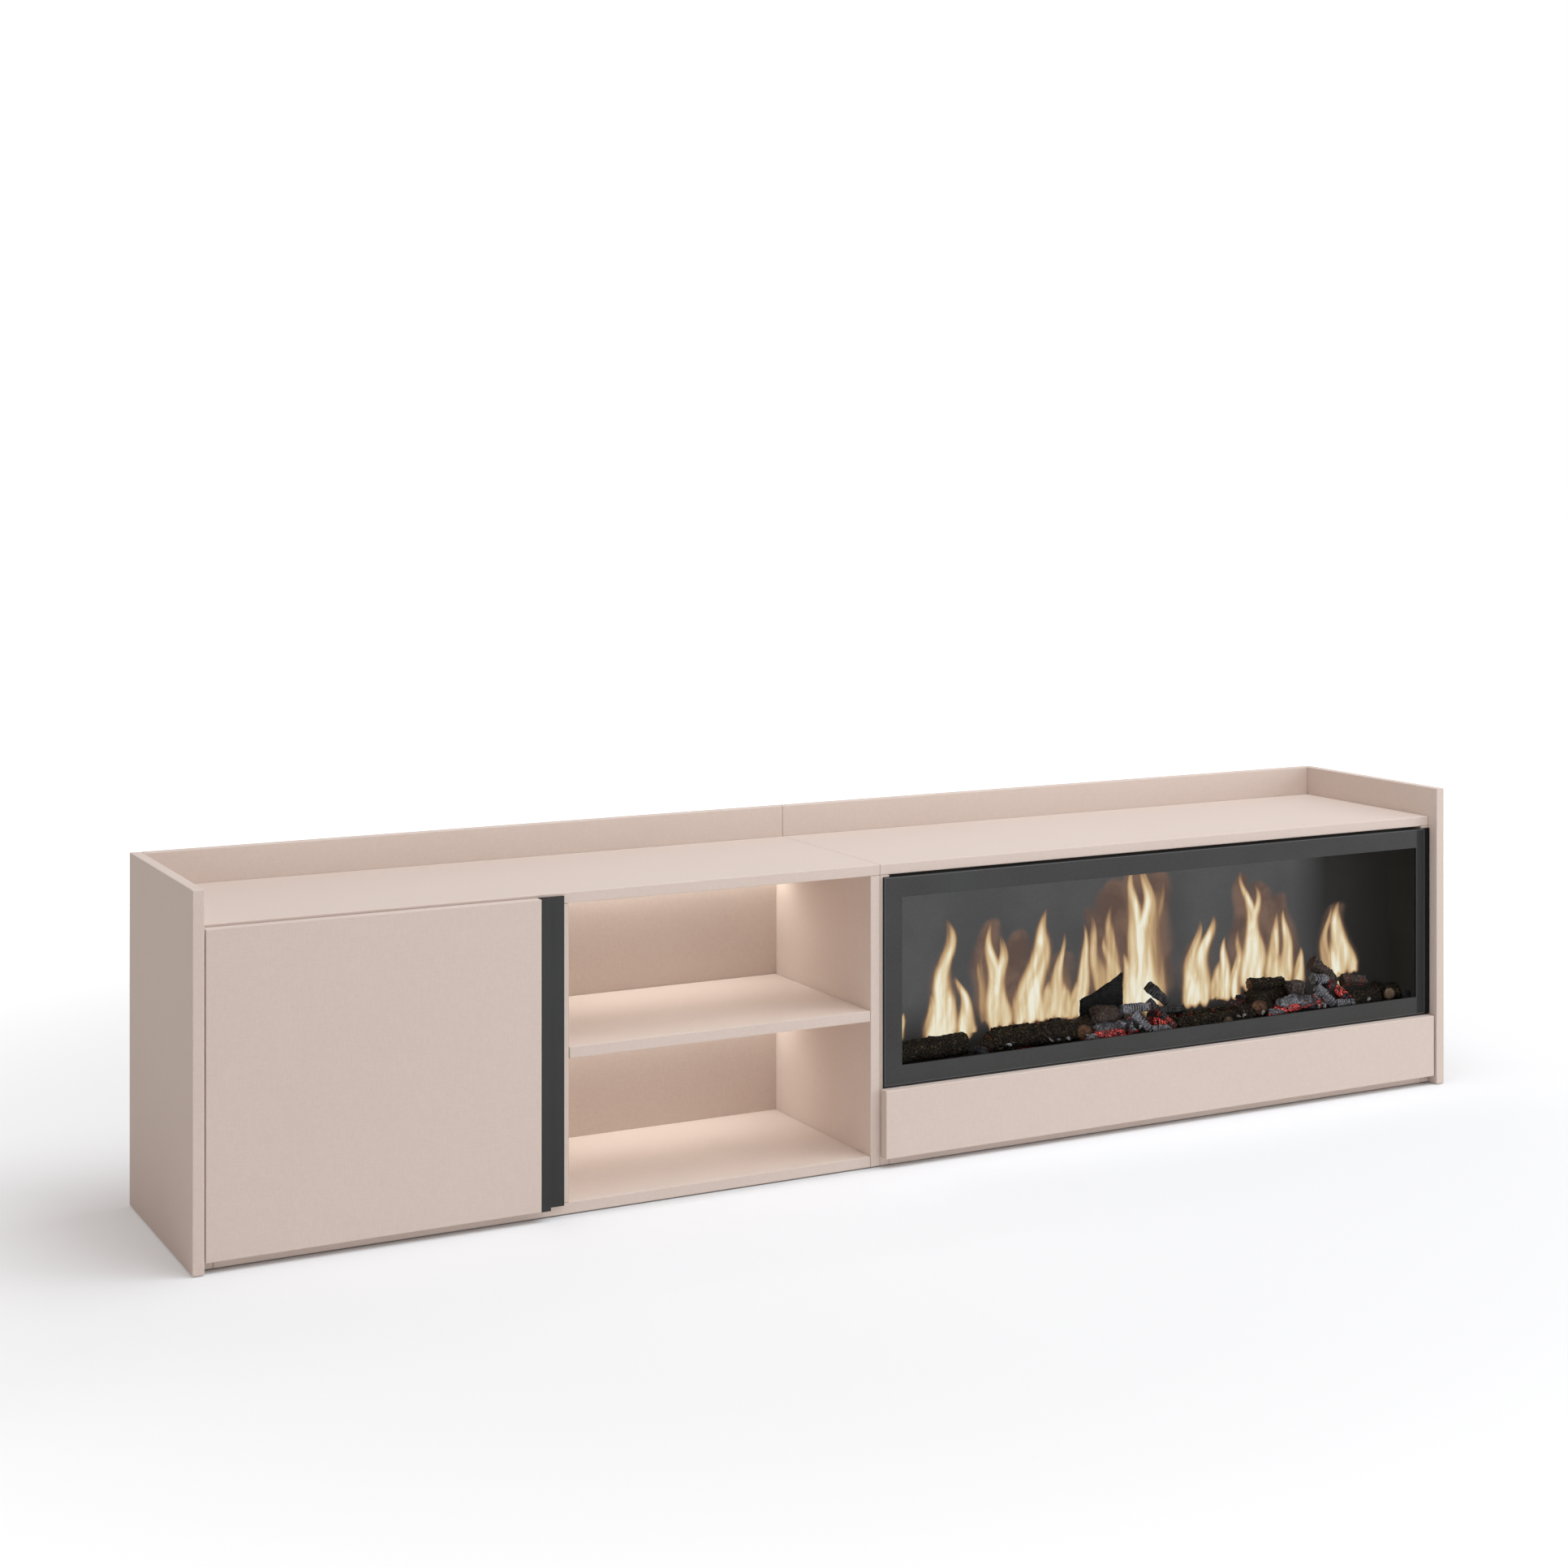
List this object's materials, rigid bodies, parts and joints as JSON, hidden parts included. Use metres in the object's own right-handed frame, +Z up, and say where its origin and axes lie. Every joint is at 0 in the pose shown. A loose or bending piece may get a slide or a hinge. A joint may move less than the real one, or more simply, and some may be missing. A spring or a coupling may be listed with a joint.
{
  "type": "tv stand",
  "caption": "Low cabinet for a television, with a hinged door, an open lit niche and a drawer under a flame effect fire behind glass.",
  "frame": {"origin": "middle of the footprint, on the floor", "axes": "+X to the right along the cabinet's length, +Y to its back, +Z up"},
  "size_m": [2.13, 0.35, 0.5],
  "materials": {
    "pale_melamine": "matt pale melamine with a fine linen grain",
    "hardboard": "thin lacquered hardboard",
    "black_aluminium": "matt black anodised",
    "black_steel": "matt black powder coat",
    "bright_steel": "zinc plated",
    "alu_profile": "satin",
    "fire_glass": "dark glass with a black printed border",
    "screen": "smoked half mirror screen",
    "black_plastic": "fine texture",
    "grey_plastic": "fine texture",
    "clear_rubber": "soft clear dot",
    "light_diffuser": "opal, lit warm white",
    "ember_bed": "moulded logs and embers, painted"
  },
  "bodies": {
    "cabinet": {"cupboard_back_panel": "hardboard", "cupboard_shelf": "pale_melamine", "divider_board": "pale_melamine", "door_bumper": "clear_rubber", "ember_bed": "ember_bed", "fire_chassis_back": "black_steel", "fire_chassis_floor": "black_steel", "fire_chassis_left_end": "black_steel", "fire_chassis_right_end": "black_steel", "fire_chassis_roof": "black_steel", "fire_control_box": "grey_plastic", "fire_glass": "fire_glass", "fire_light_bar": "light_diffuser", "fire_shelf": "pale_melamine", "flame_screen": "screen", "left_back_board": "pale_melamine", "left_bottom_board": "pale_melamine", "left_end_panel": "pale_melamine", "left_module_inner_side": "pale_melamine", "left_runner_cabinet_member": "bright_steel", "left_side_board": "pale_melamine", "left_top_board": "pale_melamine", "lower_hinge_arm": "bright_steel", "lower_light_channel": "alu_profile", "lower_light_diffuser": "light_diffuser", "niche_back_panel": "hardboard", "niche_shelf": "pale_melamine", "power_inlet": "black_plastic", "push_latch_body": "grey_plastic", "right_back_board": "pale_melamine", "right_back_panel": "hardboard", "right_bottom_board": "pale_melamine", "right_end_panel": "pale_melamine", "right_module_inner_side": "pale_melamine", "right_runner_cabinet_member": "bright_steel", "right_side_board": "pale_melamine", "right_top_board": "pale_melamine", "rotor_bearing": "black_plastic", "rotor_motor": "bright_steel", "side_trim_strip": "black_steel", "upper_hinge_arm": "bright_steel", "upper_light_channel": "alu_profile", "upper_light_diffuser": "light_diffuser"},
    "door": {"door_panel": "pale_melamine", "door_handle": "black_aluminium", "lower_hinge_cup": "bright_steel", "upper_hinge_cup": "bright_steel"},
    "drawer": {"drawer_front": "pale_melamine", "drawer_left_side": "pale_melamine", "drawer_right_side": "pale_melamine", "drawer_inner_front": "pale_melamine", "drawer_back": "pale_melamine", "drawer_bottom": "hardboard", "left_runner_drawer_member": "bright_steel", "right_runner_drawer_member": "bright_steel"},
    "left_runner_middle": {"left_runner_middle_member": "bright_steel"},
    "right_runner_middle": {"right_runner_middle_member": "bright_steel"},
    "latch_plunger": {"push_latch_plunger": "black_plastic"},
    "rotor": {"flame_rotor": "bright_steel"}
  },
  "joints": [
    {"name": "door_hinge", "type": "hinge", "parent": "cabinet", "child": "door", "pos_m": [-1.047, -0.172, 0.23025], "axis": [0, 0, -1], "range_deg": [0, 100]},
    {"name": "drawer_slide", "type": "slide", "parent": "cabinet", "child": "drawer", "axis": [0, -1, 0], "range_m": [0, 0.22]},
    {"name": "left_runner_slide", "type": "slide", "parent": "cabinet", "child": "left_runner_middle", "axis": [0, -1, 0], "range_m": [0, 0.11]},
    {"name": "right_runner_slide", "type": "slide", "parent": "cabinet", "child": "right_runner_middle", "axis": [0, -1, 0], "range_m": [0, 0.11]},
    {"name": "plunger_slide", "type": "slide", "parent": "cabinet", "child": "latch_plunger", "axis": [0, 1, 0], "range_m": [0, 0.004], "stiffness_N_per_m": 400},
    {"name": "rotor_spin", "type": "hinge", "parent": "cabinet", "child": "rotor", "pos_m": [0.51125, -0.0457, 0.1663], "axis": [1, 0, 0], "continuous": true}
  ],
  "couplings": [
    {"joint": "left_runner_slide", "follows": "drawer_slide", "ratio": 0.5},
    {"joint": "right_runner_slide", "follows": "drawer_slide", "ratio": 0.5}
  ]
}
